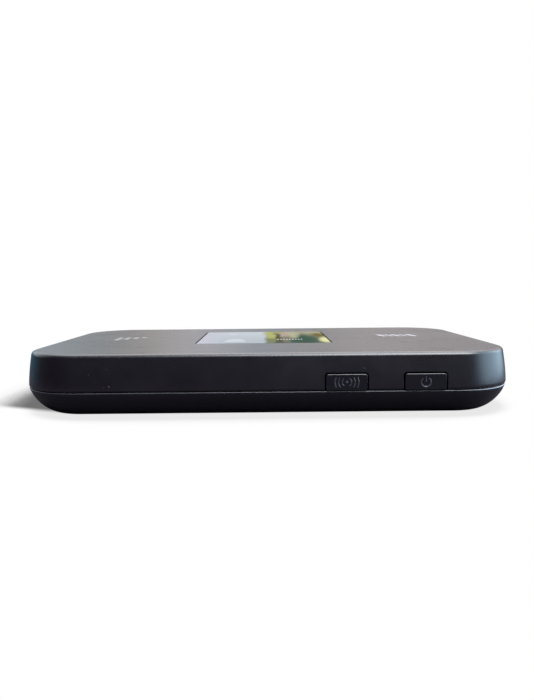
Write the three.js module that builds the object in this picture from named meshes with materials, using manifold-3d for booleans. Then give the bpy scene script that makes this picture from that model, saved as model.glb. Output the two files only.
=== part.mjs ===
// Pocket mobile hotspot: a flat rounded box with a small colour screen in its top face, two push
// buttons in one long side, a charging socket in the other, and a bottom cover that comes off to
// reach the battery and the SIM card.
//
// Millimetres. +X runs along the long side, -Y is the side with the buttons, +Z is up, and the
// origin is the middle of the flat bottom face that the hotspot rests on.

import * as THREE from "three";
import { mergeVertices } from "three/addons/utils/BufferGeometryUtils.js";
import Module from "manifold-3d";

const wasm = await Module();
wasm.setup();

// ---------------------------------------------------------------- driving dimensions

// Outer form. The wall stands plumb at BELLY_Z, leans in a little above it and sweeps in below it.
const LENGTH = 107;
const WIDTH = 64;
const HEIGHT = 13.6;
const CORNER_R = 13.1; // in plan, at the belly
const BELLY_Z = 6.2;
const SPLIT_Z = 5.65; // top edge of the rear cover
const FOOT_INSET = 5.8; // belly to flat bottom, in plan
const FOOT_POWER = 1.6; // 2 would be an ellipse, 1 a straight chamfer
const TOP_DRAFT = 0.75;
const TOP_EDGE_R = 1.0;
const CORNER_STEPS = 10;

// Shell thicknesses and gaps.
const SIDE_WALL = 1.5;
const CEILING_Z = 12.1;
const COVER_WALL = 1.3;
const COVER_FLOOR = 1.2;
const SEAM_GAP = 0.12;
const COVER_EDGE_CHAMFER = 0.25;
const LIP = { out: 1.75, in: 2.45, top: 6.9 };
const TAB = { out: 1.3, low: 6.2, high: 6.8, wide: 5 };
const TAB_SLOT = { out: 1.0, top: 7.3, wide: 5.8 };

// Screen window, slightly behind the middle of the top face.
const SCREEN_X = -0.8;
const SCREEN_Y = 3.5;
const LENS = { x: 32.8, y: 31.1, thick: 0.9, top: HEIGHT - 0.03, r: 1.2 };
const LENS_GAP = 0.15;
const LENS_SEAT_Z = 12.5;
const LENS_LEDGE = 1.0;

// Buttons in the long side at -Y.
const BUTTON = { wide: 8.6, low: 5.74, high: 9.25, r: 0.5, proud: 0.15 };
const BUTTON_GAP = 0.15;
const BUTTONS = [
  { name: "wps", x: 16.3 },
  { name: "power", x: 32.65 },
];

// Charging socket in the long side at +Y.
const USB = { x: 0, wide: 7.6, high: 2.7, deep: 5.6, mid: 9.1, wall: 0.3 };

// Circuit board and the inner frame below it.
const BOARD = { z0: 8.6, z1: 9.6, inset: 3.7 };
const FRAME = { z0: 6.8, z1: 7.6, inset: 2.7 };
const FRAME_RIM = { inset: 3.5, top: 8.5 };
const SCREW_SPOTS = [
  [-38, -27],
  [24.7, -27],
  [47, -15],
  [47, 15],
  [24.7, 27],
  [-38, 27],
];
const SCREW = { shankR: 0.8, headR: 1.5, headH: 0.8, top: 11.5 };
const BOSS_R = 1.9;
const POST_R = 1.9;

// Battery and the bay around it.
const BATTERY = { x0: -46, x1: 14, y: 46, z0: 1.45, z1: 6.5, capLength: 3.5 };
const BAY = { gap: 0.4, wall: 1.0, low: 2.0 };
const CONTACT = { count: 4, pitch: 2.1, wide: 0.6 };
const CONNECTOR = { x0: 14.8, x1: 18.3, wide: 10, low: 3.6 };

// SIM card and its socket, which hangs under the board and opens towards +X.
const SIM = { x0: 23.5, long: 15, wide: 12, thick: 0.76, z: 7.45, cutCorner: 2.5 };
const SIM_SOCKET = { x0: 22.5, long: 12.5, wide: 14.6, z0: 7.2, wall: 0.2 };
const RESET = { x: 33, y: 17.5 };

// ---------------------------------------------------------------- solids

// A closed geometry as a solid for cutting and joining.
function solid(geometry) {
  const bare = geometry.clone();
  for (const name of Object.keys(bare.attributes)) {
    if (name !== "position") bare.deleteAttribute(name);
  }
  const merged = mergeVertices(bare, 1e-4);
  return new wasm.Manifold(
    new wasm.Mesh({
      numProp: 3,
      vertProperties: merged.attributes.position.array,
      triVerts: new Uint32Array(merged.index.array),
    }),
  );
}

function geometryOf(made) {
  const mesh = made.getMesh();
  const flat = new THREE.BufferGeometry();
  flat.setAttribute("position", new THREE.BufferAttribute(mesh.vertProperties, 3));
  flat.setIndex(new THREE.BufferAttribute(mesh.triVerts, 1));
  const faceted = flat.toNonIndexed();
  faceted.computeVertexNormals();
  return faceted;
}

function join(solids) {
  return solids.reduce((whole, next) => whole.add(next));
}

function cut(whole, tools) {
  return tools.reduce((rest, tool) => rest.subtract(tool), whole);
}

function box([x0, x1], [y0, y1], [z0, z1]) {
  const geometry = new THREE.BoxGeometry(x1 - x0, y1 - y0, z1 - z0);
  return solid(geometry.translate((x0 + x1) / 2, (y0 + y1) / 2, (z0 + z1) / 2));
}

// A box given by the middle and size of its plan, and its heights.
function block(x, y, wide, deep, z0, z1) {
  return box([x - wide / 2, x + wide / 2], [y - deep / 2, y + deep / 2], [z0, z1]);
}

function upright(x, y, z0, z1, r, sides = 20) {
  const geometry = new THREE.CylinderGeometry(r, r, z1 - z0, sides).rotateX(Math.PI / 2);
  return solid(geometry.translate(x, y, (z0 + z1) / 2));
}

// A cylinder lying along Y.
function lying(x, z, y0, y1, r, sides = 16) {
  const geometry = new THREE.CylinderGeometry(r, r, y1 - y0, sides);
  return solid(geometry.translate(x, (y0 + y1) / 2, z));
}

function roundedShape(wide, deep, r) {
  const [hx, hy] = [wide / 2, deep / 2];
  const shape = new THREE.Shape();
  shape.moveTo(-hx + r, -hy);
  shape.lineTo(hx - r, -hy).absarc(hx - r, -hy + r, r, -Math.PI / 2, 0);
  shape.lineTo(hx, hy - r).absarc(hx - r, hy - r, r, 0, Math.PI / 2);
  shape.lineTo(-hx + r, hy).absarc(-hx + r, hy - r, r, Math.PI / 2, Math.PI);
  shape.lineTo(-hx, -hy + r).absarc(-hx + r, -hy + r, r, Math.PI, 1.5 * Math.PI);
  return shape;
}

function extruded(shape, depth, curveSegments = 5) {
  return new THREE.ExtrudeGeometry(shape, { depth, curveSegments, bevelEnabled: false });
}

// A rounded plate lying flat.
function plate(x, y, wide, deep, r, z0, z1, steps = 5) {
  return solid(extruded(roundedShape(wide, deep, r), z1 - z0, steps).translate(x, y, z0));
}

// A shape drawn in X and Z and extruded along Y, with its middle at y.
function acrossY(shape, y, deep) {
  return solid(extruded(shape, deep).rotateX(Math.PI / 2).translate(0, y + deep / 2, 0));
}

// A bent strip: the points of its middle line in X and Z, thickened and extruded along Y.
function strip(points, thick, y, deep) {
  const middle = points.map(([x, z]) => new THREE.Vector2(x, z));
  const sides = [1, -1].map((side) =>
    middle.map((p, i) => {
      const before = middle[Math.max(i - 1, 0)];
      const after = middle[Math.min(i + 1, middle.length - 1)];
      const along = after.clone().sub(before).normalize();
      return new THREE.Vector2(p.x - (side * along.y * thick) / 2, p.y + (side * along.x * thick) / 2);
    }),
  );
  return acrossY(new THREE.Shape([...sides[1], ...sides[0].reverse()]), y, deep);
}

// ---------------------------------------------------------------- the outer form

// How far the wall stands inside the belly outline at height z.
function wallInset(z) {
  if (z <= BELLY_Z) {
    const down = (BELLY_Z - z) / BELLY_Z;
    return FOOT_INSET * (1 - (1 - down ** FOOT_POWER) ** (1 / FOOT_POWER));
  }
  const edgeZ = HEIGHT - TOP_EDGE_R;
  if (z <= edgeZ) return TOP_DRAFT * ((z - BELLY_Z) / (edgeZ - BELLY_Z)) ** 1.5;
  const up = Math.min((z - edgeZ) / TOP_EDGE_R, 1);
  return TOP_DRAFT + TOP_EDGE_R * (1 - Math.sqrt(1 - up * up));
}

// The body's outline, moved in by inset, as a ring of points at height z.
function ring(z, inset) {
  const r = Math.max(CORNER_R - inset, 0.4);
  const corner = [LENGTH / 2 - inset - r, WIDTH / 2 - inset - r];
  const quarters = [[1, 1], [-1, 1], [-1, -1], [1, -1]];
  return quarters.flatMap(([sx, sy], quarter) =>
    Array.from({ length: CORNER_STEPS + 1 }, (_, i) => {
      const angle = ((quarter + i / CORNER_STEPS) * Math.PI) / 2;
      return [sx * corner[0] + r * Math.cos(angle), sy * corner[1] + r * Math.sin(angle), z];
    }),
  );
}

// A solid skinned over rings that are listed from the lowest to the highest.
function loft(rings) {
  const n = rings[0].length;
  const faces = [];
  rings.slice(1).forEach((_, level) => {
    const [low, high] = [level * n, (level + 1) * n];
    for (let i = 0; i < n; i++) {
      const next = (i + 1) % n;
      faces.push(low + i, low + next, high + next, low + i, high + next, high + i);
    }
  });
  const last = (rings.length - 1) * n;
  for (let i = 1; i < n - 1; i++) {
    faces.push(0, i + 1, i, last, last + i, last + i + 1);
  }
  const geometry = new THREE.BufferGeometry();
  geometry.setAttribute("position", new THREE.Float32BufferAttribute(rings.flat(2), 3));
  geometry.setIndex(faces);
  return solid(geometry);
}

function heights(from, to, steps) {
  return Array.from({ length: steps + 1 }, (_, i) => from + ((to - from) * i) / steps);
}

// The outer form between two heights, moved in by inset.
function form(levels, inset = 0) {
  return loft(levels.map((z) => ring(z, wallInset(z) + inset)));
}

// A straight-walled slab with the body's outline.
function slab(z0, z1, inset) {
  return loft([z0, z1].map((z) => ring(z, inset)));
}

// A straight-walled rim between two insets.
function rim(z0, z1, outer, inner) {
  return slab(z0, z1, outer).subtract(slab(z0 - 1, z1 + 1, inner));
}

// ---------------------------------------------------------------- casings

const tabSpots = [
  ...[-34, -6].map((x) => ({ x, y: 0, alongX: true, side: -1 })),
  ...[-34, 10, 36].map((x) => ({ x, y: 0, alongX: true, side: 1 })),
  ...[-14, 14].map((y) => ({ x: 0, y, alongX: false, side: -1 })),
  { x: 0, y: 0, alongX: false, side: 1 },
];

// A block that straddles the wall between two insets at one tab's spot.
function atWall({ x, y, alongX, side }, wide, [outer, inner], [z0, z1]) {
  const half = (alongX ? WIDTH : LENGTH) / 2;
  const across = [side * (half - outer), side * (half - inner)].sort((a, b) => a - b);
  return alongX
    ? box([x - wide / 2, x + wide / 2], across, [z0, z1])
    : box(across, [y - wide / 2, y + wide / 2], [z0, z1]);
}

const BUTTON_MID_Z = (BUTTON.low + BUTTON.high) / 2;

function topCover() {
  const edgeZ = HEIGHT - TOP_EDGE_R;
  const fillet = [20, 40, 60, 78, 90].map((deg) => edgeZ + TOP_EDGE_R * Math.sin((deg * Math.PI) / 180));
  const skin = form([SPLIT_Z + SEAM_GAP, BELLY_Z, 8.2, 10.3, edgeZ, ...fillet]);
  const hollow = form([BELLY_Z, 8.2, CEILING_Z], SIDE_WALL).add(slab(0, BELLY_Z + 0.01, SIDE_WALL));
  const [holeX, holeY] = [LENS.x + 2 * LENS_GAP, LENS.y + 2 * LENS_GAP];
  const lensHole = plate(SCREEN_X, SCREEN_Y, holeX, holeY, LENS.r + LENS_GAP, LENS_SEAT_Z, HEIGHT + 1);
  const viewHole = block(
    SCREEN_X, SCREEN_Y, LENS.x - 2 * LENS_LEDGE, LENS.y - 2 * LENS_LEDGE, CEILING_Z - 1, HEIGHT + 1,
  );
  const bosses = SCREW_SPOTS.map(([x, y]) => upright(x, y, BOARD.z1 + 0.15, CEILING_Z + 0.2, BOSS_R));
  const bores = SCREW_SPOTS.map(([x, y]) => upright(x, y, BOARD.z1, SCREW.top + 0.3, SCREW.shankR + 0.1, 12));
  const notches = BUTTONS.map(({ x }) => {
    const high = BUTTON.high + BUTTON_GAP;
    const wide = BUTTON.wide + 2 * BUTTON_GAP;
    const shape = roundedShape(wide, 2 * (high - SPLIT_Z), BUTTON.r + BUTTON_GAP);
    const tool = extruded(shape, 4).rotateX(Math.PI / 2);
    return solid(tool.translate(x, -WIDTH / 2 + SIDE_WALL + 1.5, SPLIT_Z));
  });
  const usbHole = extruded(roundedShape(USB.wide + 0.8, USB.high + 0.8, 1.2), 4).rotateX(Math.PI / 2);
  const slotDepth = [TAB_SLOT.out, LIP.in];
  const slots = tabSpots.map((spot) => atWall(spot, TAB_SLOT.wide, slotDepth, [0, TAB_SLOT.top]));
  return cut(join([skin.subtract(hollow), ...bosses]), [
    lensHole,
    viewHole,
    ...bores,
    ...notches,
    solid(usbHole.translate(USB.x, WIDTH / 2 + 2, USB.mid)),
    ...slots,
  ]);
}

function rearCover() {
  const skin = form([...heights(0, 0.9, 3), 1.6, 2.5, 3.5, 4.5, SPLIT_Z - COVER_EDGE_CHAMFER]);
  const edge = loft([
    ring(SPLIT_Z - COVER_EDGE_CHAMFER, wallInset(SPLIT_Z - COVER_EDGE_CHAMFER)),
    ring(SPLIT_Z, wallInset(SPLIT_Z) + COVER_EDGE_CHAMFER),
  ]);
  const hollow = form([COVER_FLOOR, 1.6, 2.5, 3.5, SPLIT_Z + 0.1], COVER_WALL);
  const lip = rim(4.6, LIP.top, LIP.out, LIP.in);
  const lipFoot = slab(4.0, 4.6, 1.0).subtract(slab(3, 5, LIP.in)).intersect(form([3.5, 4.5, SPLIT_Z]));
  const buttonRoom = BUTTONS.map(({ x }) =>
    block(x, -WIDTH / 2 + 2, BUTTON.wide + 3.4, 3, SPLIT_Z - 0.1, LIP.top + 1),
  );
  const usbRoom = block(USB.x, WIDTH / 2 - 2, USB.wide + 1.6, 3, SPLIT_Z + 0.6, LIP.top + 1);
  const tabs = tabSpots.map((spot) => atWall(spot, TAB.wide, [TAB.out, LIP.in - 0.1], [TAB.low, TAB.high]));
  const ribHeights = [COVER_FLOOR - 0.2, COVER_FLOOR + 0.7];
  const ribs = [-20, -10, 0, 10, 20].map((y) => block(33.5, y, 27, 0.9, ...ribHeights));
  const pryNotch = block(-LENGTH / 2, 0, 3, 9, SPLIT_Z - 0.8, SPLIT_Z + 0.1);
  const hull = join([skin, edge]).subtract(hollow);
  const lipSolid = cut(join([lip, lipFoot]), buttonRoom);
  return cut(join([hull, lipSolid, ...tabs, ...ribs]), [usbRoom, pryNotch]);
}

// ---------------------------------------------------------------- screen

function lens() {
  return plate(0, 0, LENS.x, LENS.y, LENS.r, -LENS.thick, 0);
}

function flatRing(wide, deep, border, thick, r = 1) {
  const hole = roundedShape(wide - 2 * border, deep - 2 * border, Math.max(r - border, 0.3));
  const shape = roundedShape(wide, deep, r);
  shape.holes.push(hole);
  return solid(extruded(shape, thick, 3));
}

const LCD = { x: 36.4, y: 34.7, z0: 9.66, z1: 11.85, wall: 0.25 };

function lcdTray() {
  const outer = block(0, 0, LCD.x, LCD.y, 0, LCD.z1 - LCD.z0);
  return outer.subtract(block(0, 0, LCD.x - 2 * LCD.wall, LCD.y - 2 * LCD.wall, LCD.wall, 5));
}

function lcdFlex() {
  const edge = SCREEN_X + LCD.x / 2;
  const path = [[0.15, 11.0], [1.0, 11.0], [1.6, 10.8], [2.0, 10.3], [2.4, 10.1], [5.4, 10.1]];
  return strip(path.map(([x, z]) => [edge + x, z]), 0.12, SCREEN_Y, 12);
}

// ---------------------------------------------------------------- buttons and switches

// Button face outside, a flange behind the wall that keeps it in, and a nub for the switch.
function buttonCap() {
  const wallY = -WIDTH / 2;
  const high = BUTTON.high - BUTTON.low;
  const face = roundedShape(BUTTON.wide, 2 * high, BUTTON.r);
  const cap = solid(
    extruded(face, 1.2 + BUTTON.proud, 6).rotateX(Math.PI / 2).translate(0, wallY + 1.2, -high / 2),
  ).intersect(box([-9, 9], [wallY - 2, wallY + 2], [-high / 2, high]));
  const flange = box([-5.2, 5.2], [wallY + 1.95, wallY + 2.45], [-1.7, 2.4]);
  const neck = box([-4.2, 4.2], [wallY + 1.1, wallY + 2], [-1.6, 1.6]);
  const nub = lying(0, 0, wallY + 2.4, wallY + 3.1, 0.9);
  return join([cap, neck, flange, nub]);
}

const SWITCH = { y: -28.3, deep: 3, wide: 4.6, low: 6.75, plungerW: 1.6, plungerH: 1.0 };

function switchBody() {
  const body = box([-SWITCH.wide / 2, SWITCH.wide / 2], [0, SWITCH.deep], [SWITCH.low, BOARD.z0 - 0.03]);
  const [w, h] = [SWITCH.plungerW + 0.2, SWITCH.plungerH + 0.2];
  return body.subtract(
    box([-w / 2, w / 2], [-1, 1.4], [BUTTON_MID_Z - h / 2, BUTTON_MID_Z + h / 2]),
  );
}

function switchPlunger() {
  const [w, h] = [SWITCH.plungerW, SWITCH.plungerH];
  return box([-w / 2, w / 2], [-0.55, 0.9], [BUTTON_MID_Z - h / 2, BUTTON_MID_Z + h / 2]);
}

// ---------------------------------------------------------------- frame and board

const bayMid = [(BATTERY.x0 + BATTERY.x1) / 2, 0];
const bayInner = [BATTERY.x1 - BATTERY.x0 + 2 * BAY.gap, BATTERY.y + 2 * BAY.gap];

function innerFrame() {
  const floor = slab(FRAME.z0, FRAME.z1, FRAME.inset);
  const sideRim = rim(FRAME.z1 - 0.1, FRAME_RIM.top, FRAME.inset, FRAME_RIM.inset);
  const bayWalls = plate(
    ...bayMid, bayInner[0] + 2 * BAY.wall, bayInner[1] + 2 * BAY.wall, 1.6, BAY.low, FRAME.z0 + 0.1,
  ).subtract(plate(...bayMid, ...bayInner, 0.6, 0, FRAME.z0));
  const posts = SCREW_SPOTS.map(([x, y]) => upright(x, y, FRAME.z1 - 0.1, FRAME_RIM.top, POST_R, 16));
  const boreR = SCREW.shankR + 0.2;
  const bores = SCREW_SPOTS.map(([x, y]) => upright(x, y, FRAME.z0 - 1, FRAME_RIM.top + 1, boreR, 12));
  const switchRoom = BUTTONS.map(({ x }) => block(x, -28.7, 12, 8.2, FRAME.z0 - 1, FRAME_RIM.top + 1));
  const openings = [
    block((CONNECTOR.x0 + CONNECTOR.x1) / 2, 0, 4.6, CONNECTOR.wide + 0.6, 0, 9),
    block(35.3, 0, 28.2, SIM_SOCKET.wide + 1.6, FRAME.z0 - 1, FRAME.z1 + 1),
    upright(RESET.x, RESET.y, FRAME.z0 - 1, FRAME.z1 + 1, 1.5),
    block(USB.x, 29, USB.wide + 1, 8, FRAME.z1 - 0.3, FRAME_RIM.top + 1),
    block(49, 0, 3, 16, FRAME.z0, FRAME.z1 + 0.7),
  ];
  return cut(join([floor, sideRim, bayWalls, ...posts]), [...bores, ...switchRoom, ...openings]);
}

function circuitBoard() {
  const holes = SCREW_SPOTS.map(([x, y]) => upright(x, y, BOARD.z0 - 1, BOARD.z1 + 1, 1.1, 14));
  const usbNotch = block(USB.x, 28, USB.wide + 0.6, 10, BOARD.z0 - 1, BOARD.z1 + 1);
  return cut(slab(BOARD.z0, BOARD.z1, BOARD.inset), [...holes, usbNotch]);
}

// A thin metal can, open underneath, with two rows of vent holes.
function shieldCan(wide, deep, high) {
  const wall = 0.2;
  const can = block(0, 0, wide, deep, 0, high).subtract(
    block(0, 0, wide - 2 * wall, deep - 2 * wall, -1, high - wall),
  );
  const holes = [-1, 0, 1].flatMap((i) =>
    [-1, 1].map((j) => upright((i * wide) / 4, (j * deep) / 4, high - 1, high + 1, 0.6, 8)),
  );
  return cut(can, holes);
}

function chip(wide, deep, high) {
  return block(0, 0, wide, deep, 0, high);
}

function usbShell() {
  const { wide, high, deep, wall } = USB;
  const tube = (shape) => solid(extruded(shape, deep).rotateX(Math.PI / 2));
  const inner = tube(roundedShape(wide - 2 * wall, high - 2 * wall, 0.5));
  return tube(roundedShape(wide, high, 0.7)).subtract(inner.translate([0, 0.6, 0]));
}

function usbTongue() {
  return box([-1.85, 1.85], [0.65 - USB.deep, -1], [0.15, 0.75]);
}

function screw() {
  const shank = upright(0, 0, 0, SCREW.top - FRAME.z0, SCREW.shankR, 12);
  const head = upright(0, 0, -SCREW.headH, 0.05, SCREW.headR, 16);
  const cross = [[0.4, 1.6], [1.6, 0.4]].map(([w, d]) => block(0, 0, w, d, -2, -SCREW.headH + 0.4));
  return cut(head.add(shank), cross);
}

// ---------------------------------------------------------------- battery

function batteryCell() {
  const length = BATTERY.x1 - BATTERY.x0 - BATTERY.capLength - 0.05;
  const high = BATTERY.z1 - BATTERY.z0;
  const profile = roundedShape(BATTERY.y, high, 0.7);
  const along = extruded(profile, length, 3).rotateX(Math.PI / 2).rotateZ(Math.PI / 2);
  return solid(along.translate(0, 0, high / 2));
}

function batteryCap() {
  const high = BATTERY.z1 - BATTERY.z0;
  const body = block(-BATTERY.capLength / 2, 0, BATTERY.capLength, BATTERY.y, 0, high);
  const pockets = contactSpots().map((y) => block(0, y, 0.3, 1.7, 1.2, high - 1.1));
  return cut(body, pockets);
}

function contactSpots() {
  return Array.from({ length: CONTACT.count }, (_, i) => (i - (CONTACT.count - 1) / 2) * CONTACT.pitch);
}

function batteryPad() {
  return block(0, 0, 0.1, 1.5, 0, 2.4);
}

function contactSpring() {
  const bow = [[0.6, -1.3], [0.25, -0.9], [-0.25, -0.4], [-0.5, 0], [-0.25, 0.4], [0.25, 0.9], [0.6, 1.3]];
  return strip(bow, 0.12, 0, CONTACT.wide);
}

function batteryConnector() {
  const { x0, x1, wide, low } = CONNECTOR;
  const body = box([x0, x1], [-wide / 2, wide / 2], [low, BOARD.z0 - 0.05]);
  const slots = contactSpots().map((y) => block(x0, y, 1.3, CONTACT.wide + 0.3, low + 0.4, 7.2));
  return cut(body, slots);
}

// ---------------------------------------------------------------- SIM, reset and antennas

function simCard() {
  const shape = new THREE.Shape();
  const [l, w] = [SIM.long, SIM.wide / 2];
  shape.moveTo(0, -w).lineTo(l, -w).lineTo(l, w).lineTo(SIM.cutCorner, w).lineTo(0, w - SIM.cutCorner);
  return solid(extruded(shape, SIM.thick));
}

function simSocket() {
  const { long, wide, z0, wall } = SIM_SOCKET;
  const high = BOARD.z0 - 0.05 - z0;
  const shell = box([0, long], [-wide / 2, wide / 2], [0, high]);
  const channel = box([0.6, long + 1], [-SIM.wide / 2 - 0.2, SIM.wide / 2 + 0.2], [wall, high - 0.3]);
  const window = box([4, 9], [-4, 4], [-1, wall + 0.1]);
  return cut(shell, [channel, window]);
}

function antennaSpring() {
  const path = [[-1.2, 0.1], [1.1, 0.1], [1.35, 0.5], [1.1, 1.0], [-0.6, 1.6], [-1.1, 1.95], [-0.4, 2.15]];
  return strip(path, 0.12, 0, 1.4);
}

// A printed antenna on thin flex: a plate with slots cut in from alternate sides.
function antenna(wide, deep, slots) {
  const body = block(0, 0, wide, deep, 0, 0.2);
  const along = deep > wide;
  const [long, short] = along ? [deep, wide] : [wide, deep];
  const tools = Array.from({ length: slots }, (_, i) => {
    const at = ((i + 1) / (slots + 1) - 0.5) * long;
    const shift = (i % 2 ? 1 : -1) * short * 0.25;
    return along ? block(shift, at, short * 0.75, 0.8, -1, 1) : block(at, shift, 0.8, short * 0.75, -1, 1);
  });
  return cut(body, tools);
}

function resetSwitch() {
  return block(0, 0, 3, 3, 7.75, BOARD.z0 - 0.03).subtract(upright(0, 0, 7, 8.25, 0.75, 14));
}

// ---------------------------------------------------------------- materials

function finish(color, roughness, metalness = 0) {
  return new THREE.MeshStandardMaterial({ color, roughness, metalness });
}

const shellGrey = finish(0x2b2c31, 0.5);
const coverBlack = finish(0x17171a, 0.6);
const glass = finish(0xb9c0d2, 0.08);
const framePlastic = finish(0x222225, 0.7);
const boardGreen = finish(0x12502f, 0.55);
const steel = finish(0xb8babc, 0.3, 0.9);
const chipBlack = finish(0x1a1a1c, 0.45);
const gold = finish(0xd0a548, 0.3, 0.9);
const connectorIvory = finish(0xd9d2bd, 0.55);
const flexAmber = finish(0x9a5b1c, 0.4);
const foam = finish(0x101012, 0.95);
const cellWrap = finish(0x26272b, 0.4);
const paperWhite = finish(0xdedede, 0.8);
const cardWhite = finish(0xe9e9ea, 0.45);
const lightGuide = finish(0xe6e9ee, 0.2);

// ---------------------------------------------------------------- assembly

function piece(name, made, material, at = [0, 0, 0], turn = 0) {
  const mesh = new THREE.Mesh(geometryOf(made), material);
  mesh.name = name;
  mesh.position.set(...at);
  mesh.rotation.z = turn;
  return mesh;
}

function groupAt([x, y, z], pieces) {
  const made = new THREE.Group();
  made.position.set(x, y, z);
  return made.add(...pieces);
}

const casings = groupAt([0, 0, 0], [
  piece("rear_cover", rearCover(), coverBlack),
  piece("cover_foam_pad", block(-16, 0, 44, 34, COVER_FLOOR + 0.02, BATTERY.z0 - 0.03), foam),
  piece("top_cover", topCover(), shellGrey),
  piece("inner_frame", innerFrame(), framePlastic),
]);

const screen = groupAt([SCREEN_X, SCREEN_Y, 0], [
  piece("screen_lens", lens(), glass, [0, 0, LENS.top]),
  piece("lens_adhesive", flatRing(LENS.x - 0.4, LENS.y - 0.4, 0.75, 0.14), foam, [0, 0, LENS_SEAT_Z + 0.01]),
  piece("lcd_tray", lcdTray(), steel, [0, 0, LCD.z0]),
  piece("lcd_backlight", chip(LCD.x - 0.7, LCD.y - 0.7, 1.15), lightGuide, [0, 0, LCD.z0 + LCD.wall + 0.02]),
  piece("lcd_glass", chip(LCD.x - 0.7, LCD.y - 0.7, 0.65), glass, [0, 0, LCD.z1 - 0.7]),
  piece("lcd_gasket", flatRing(LCD.x - 0.4, LCD.y - 0.4, 2.2, 0.18), foam, [0, 0, LCD.z1 + 0.03]),
]);

const buttons = BUTTONS.flatMap(({ name, x }) => [
  piece(`${name}_button`, buttonCap(), shellGrey, [x, 0, BUTTON_MID_Z]),
  piece(`${name}_plunger`, switchPlunger(), chipBlack, [x, SWITCH.y, 0]),
  piece(`${name}_switch`, switchBody(), steel, [x, SWITCH.y, 0]),
]);

const boardTop = groupAt([0, 0, BOARD.z1 + 0.03], [
  piece("baseband_shield", shieldCan(27, 30, 1.5), steel, [-34.5, -3, 0]),
  piece("radio_shield", shieldCan(20.5, 26, 1.5), steel, [34.25, -7, 0]),
  piece("baseband_processor", chip(12, 12, 0.9), chipBlack, [-36, -7, 0]),
  piece("memory_chip", chip(10, 8, 0.8), chipBlack, [-36, 6, 0]),
  piece("power_chip", chip(6, 6, 0.8), chipBlack, [-26, -4, 0]),
  piece("radio_transceiver", chip(7, 7, 0.8), chipBlack, [30, -12, 0]),
  piece("wifi_chip", chip(6, 6, 0.8), chipBlack, [38, -3, 0]),
  piece("screen_connector", chip(3.4, 12, 0.35), connectorIvory, [21.2, SCREEN_Y + 1, 0]),
  piece("main_antenna_spring", antennaSpring(), gold, [-46, 16, 0]),
  piece("second_antenna_spring", antennaSpring(), gold, [46.5, 8.8, 0]),
  piece("wifi_antenna_spring", antennaSpring(), gold, [-27, 26.4, 0]),
]);

const antennas = groupAt([0, 0, CEILING_Z - 0.23], [
  piece("main_antenna", antenna(7, 38, 6), flexAmber, [-46.5, 0, 0]),
  piece("second_antenna", antenna(6, 22, 4), flexAmber, [46.5, 0, 0]),
  piece("wifi_antenna", antenna(18, 4, 4), flexAmber, [-24, 27, 0]),
]);

const usb = groupAt([USB.x, WIDTH / 2 - 0.6, USB.mid], [
  piece("usb_shell", usbShell(), steel),
  piece("usb_tongue", usbTongue(), chipBlack),
]);

const sim = groupAt([0, 0, 0], [
  piece("sim_socket", simSocket(), steel, [SIM_SOCKET.x0, 0, SIM_SOCKET.z0]),
  piece("sim_card", simCard(), cardWhite, [SIM.x0, 0, SIM.z]),
]);

const reset = groupAt([RESET.x, RESET.y, 0], [
  piece("reset_switch", resetSwitch(), steel),
  piece("reset_plunger", upright(0, 0, 7.1, 7.95, 0.65, 14), framePlastic),
]);

const contacts = contactSpots().flatMap((y, i) => [
  piece(`battery_pad_${i + 1}`, batteryPad(), gold, [BATTERY.x1 - 0.09, y, BATTERY.z0 + 1.4]),
  piece(`contact_spring_${i + 1}`, contactSpring(), gold, [CONNECTOR.x0 - 0.05, y, BATTERY.z0 + 2.6 + 1.6]),
]);

const battery = groupAt([0, 0, BATTERY.z0], [
  piece("battery_cell", batteryCell(), cellWrap, [BATTERY.x0, 0, 0]),
  piece("battery_end_cap", batteryCap(), framePlastic, [BATTERY.x1, 0, 0]),
]);

const screws = SCREW_SPOTS.map(([x, y], i) =>
  piece(`screw_${i + 1}`, screw(), steel, [x, y, FRAME.z0 - 0.05]),
);

const hotspot = new THREE.Group();
hotspot.add(casings, screen, ...buttons, boardTop, antennas, usb, sim, reset);
hotspot.add(battery, ...contacts, ...screws);
hotspot.add(
  piece("circuit_board", circuitBoard(), boardGreen),
  piece("lcd_flex", lcdFlex(), flexAmber),
  piece("battery_connector", batteryConnector(), connectorIvory),
  piece("rating_label", block(-16, 0, 40, 26, FRAME.z0 - 0.14, FRAME.z0 - 0.02), paperWhite),
);

export default hotspot;
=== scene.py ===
"""Mobile hotspot: the visible shells, buttons, screen and battery are built here as fine meshes around
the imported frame, every piece gets a procedural material, and the stage is a pale floor in soft light.
Shapes are worked out in millimetres and written in metres."""

import math

import bmesh
import bpy
from mathutils import Matrix, Vector

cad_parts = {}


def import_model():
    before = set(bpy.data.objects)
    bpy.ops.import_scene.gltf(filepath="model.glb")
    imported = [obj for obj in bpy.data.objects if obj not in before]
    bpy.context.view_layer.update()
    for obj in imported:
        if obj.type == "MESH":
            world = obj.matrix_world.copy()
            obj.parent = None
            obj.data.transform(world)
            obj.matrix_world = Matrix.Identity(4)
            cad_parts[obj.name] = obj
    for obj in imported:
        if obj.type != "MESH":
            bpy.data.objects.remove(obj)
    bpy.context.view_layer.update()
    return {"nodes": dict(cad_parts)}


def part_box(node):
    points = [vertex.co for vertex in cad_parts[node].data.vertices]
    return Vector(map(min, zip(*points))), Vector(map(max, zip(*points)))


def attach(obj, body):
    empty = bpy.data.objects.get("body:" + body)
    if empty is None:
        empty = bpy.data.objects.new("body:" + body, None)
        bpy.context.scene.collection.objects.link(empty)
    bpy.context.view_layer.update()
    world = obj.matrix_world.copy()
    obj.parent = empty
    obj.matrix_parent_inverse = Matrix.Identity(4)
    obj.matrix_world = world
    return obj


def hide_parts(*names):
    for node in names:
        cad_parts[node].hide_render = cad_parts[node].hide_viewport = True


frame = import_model()
MM = 0.001


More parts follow.
